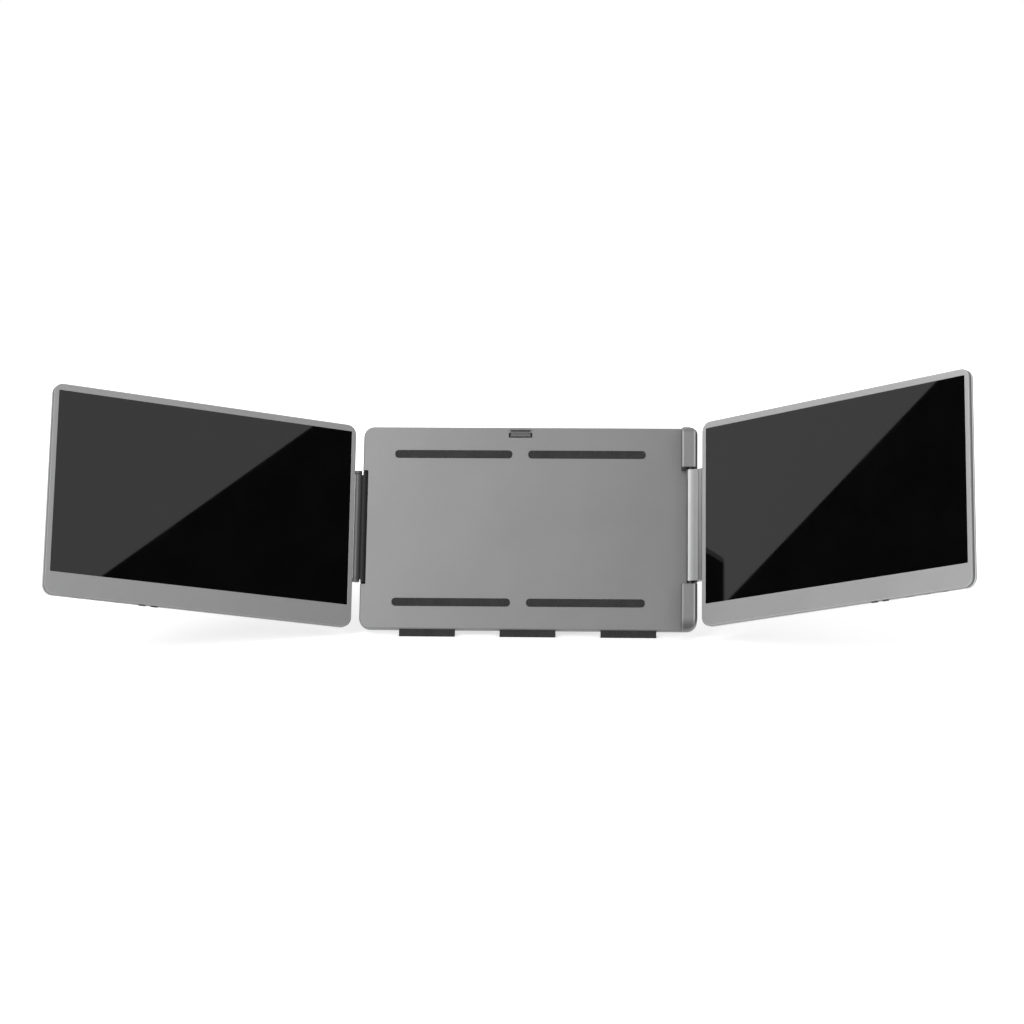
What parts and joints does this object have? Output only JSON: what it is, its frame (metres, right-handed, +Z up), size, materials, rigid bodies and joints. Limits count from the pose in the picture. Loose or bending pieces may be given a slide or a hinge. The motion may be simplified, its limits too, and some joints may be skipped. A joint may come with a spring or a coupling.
{
  "type": "laptop screen extender",
  "caption": "Triple-screen laptop extender: a leaning bracket with a lid clamp and kickstand, and a hinged portable display that folds over it from each side.",
  "frame": {"origin": "on the table, under the front lower edge of the bracket at its centre line", "axes": "+X to the viewer's right along the bracket, +Y away from the viewer, +Z up"},
  "size_m": [0.9781, 0.3665, 0.3232],
  "materials": {
    "satin_grey": "fine satin metallic paint",
    "light_metal": "brushed, natural",
    "dark_metal": "dark satin",
    "steel": "ground",
    "screw_black": "black oxide",
    "rubber": "matte",
    "panel_grey": "fine satin metallic paint",
    "back_grey": "fine satin metallic",
    "screen_glass": "polished, black behind",
    "black_foam": "foam tape",
    "panel_module": "metal-framed black panel",
    "board_green": "circuit board",
    "ribbon_amber": "flexible circuit",
    "black_plastic": "fine texture"
  },
  "bodies": {
    "bracket": {"bracket_front_plate": "satin_grey", "bracket_rear_cover": "satin_grey", "bracket_screws": "screw_black", "lid_pads": "rubber", "table_feet": "rubber", "left_hinge_bracket": "dark_metal", "left_hinge_shaft": "steel", "left_torque_washers": "steel", "lower_hinge_tower": "satin_grey", "upper_hinge_tower": "satin_grey", "right_hinge_shaft": "steel", "right_torque_washers": "steel", "clamp_rails": "black_plastic", "clamp_springs": "steel", "stand_hinge_blocks": "dark_metal", "stand_pins": "steel"},
    "left_display": {"left_bezel": "panel_grey", "left_back_cover": "back_grey", "left_screen_glass": "screen_glass", "left_screen_gasket": "black_foam", "left_display_module": "panel_module", "left_driver_board": "board_green", "left_port_sockets": "steel", "left_display_ribbon": "ribbon_amber", "left_cover_screws": "screw_black", "left_hinge_leaf": "dark_metal"},
    "right_display": {"right_bezel": "panel_grey", "right_back_cover": "back_grey", "right_screen_glass": "screen_glass", "right_screen_gasket": "black_foam", "right_display_module": "panel_module", "right_driver_board": "board_green", "right_port_sockets": "steel", "right_display_ribbon": "ribbon_amber", "right_cover_screws": "screw_black", "right_hinge_arm": "light_metal"},
    "kickstand": {"kickstand_plate": "satin_grey", "kickstand_foot": "rubber"},
    "clamp_slider": {"lid_clamp": "satin_grey", "clamp_hook_pin": "steel"},
    "clamp_hook": {"clamp_hook": "satin_grey", "clamp_hook_pad": "rubber"},
    "left_power_button": {"left_power_button": "black_plastic"},
    "left_menu_button": {"left_menu_button": "black_plastic"},
    "right_power_button": {"right_power_button": "black_plastic"},
    "right_menu_button": {"right_menu_button": "black_plastic"}
  },
  "joints": [
    {"name": "left_screen_swing", "type": "hinge", "parent": "bracket", "child": "left_display", "pos_m": [-0.1925, 0.04721, 0.11405], "axis": [0, 0.4226, 0.9063], "range_deg": [-30, 150]},
    {"name": "right_screen_swing", "type": "hinge", "parent": "bracket", "child": "right_display", "pos_m": [0.181, 0.03769, 0.11849], "axis": [0, -0.4226, -0.9063], "range_deg": [-40.3, 139.7]},
    {"name": "kickstand_fold", "type": "hinge", "parent": "bracket", "child": "kickstand", "pos_m": [0, 0.07744, 0.13747], "axis": [1, 0, 0], "range_deg": [-48, 0]},
    {"name": "clamp_slide", "type": "slide", "parent": "bracket", "child": "clamp_slider", "axis": [0, 0.4226, 0.9063], "range_m": [0, 0.03], "stiffness_N_per_m": 120, "springref_m": -0.01},
    {"name": "hook_fold", "type": "hinge", "parent": "clamp_slider", "child": "clamp_hook", "pos_m": [-0.011, 0.09723, 0.21375], "axis": [-1, 0, 0], "range_deg": [0, 90]},
    {"name": "left_power_press", "type": "slide", "parent": "left_display", "child": "left_power_button", "axis": [0, 0.4226, 0.9063], "range_m": [0, 0.0008], "stiffness_N_per_m": 600},
    {"name": "left_menu_press", "type": "slide", "parent": "left_display", "child": "left_menu_button", "axis": [0, 0.4226, 0.9063], "range_m": [0, 0.0008], "stiffness_N_per_m": 600},
    {"name": "right_power_press", "type": "slide", "parent": "right_display", "child": "right_power_button", "axis": [0, 0.4226, 0.9063], "range_m": [0, 0.0008], "stiffness_N_per_m": 600},
    {"name": "right_menu_press", "type": "slide", "parent": "right_display", "child": "right_menu_button", "axis": [0, 0.4226, 0.9063], "range_m": [0, 0.0008], "stiffness_N_per_m": 600}
  ]
}
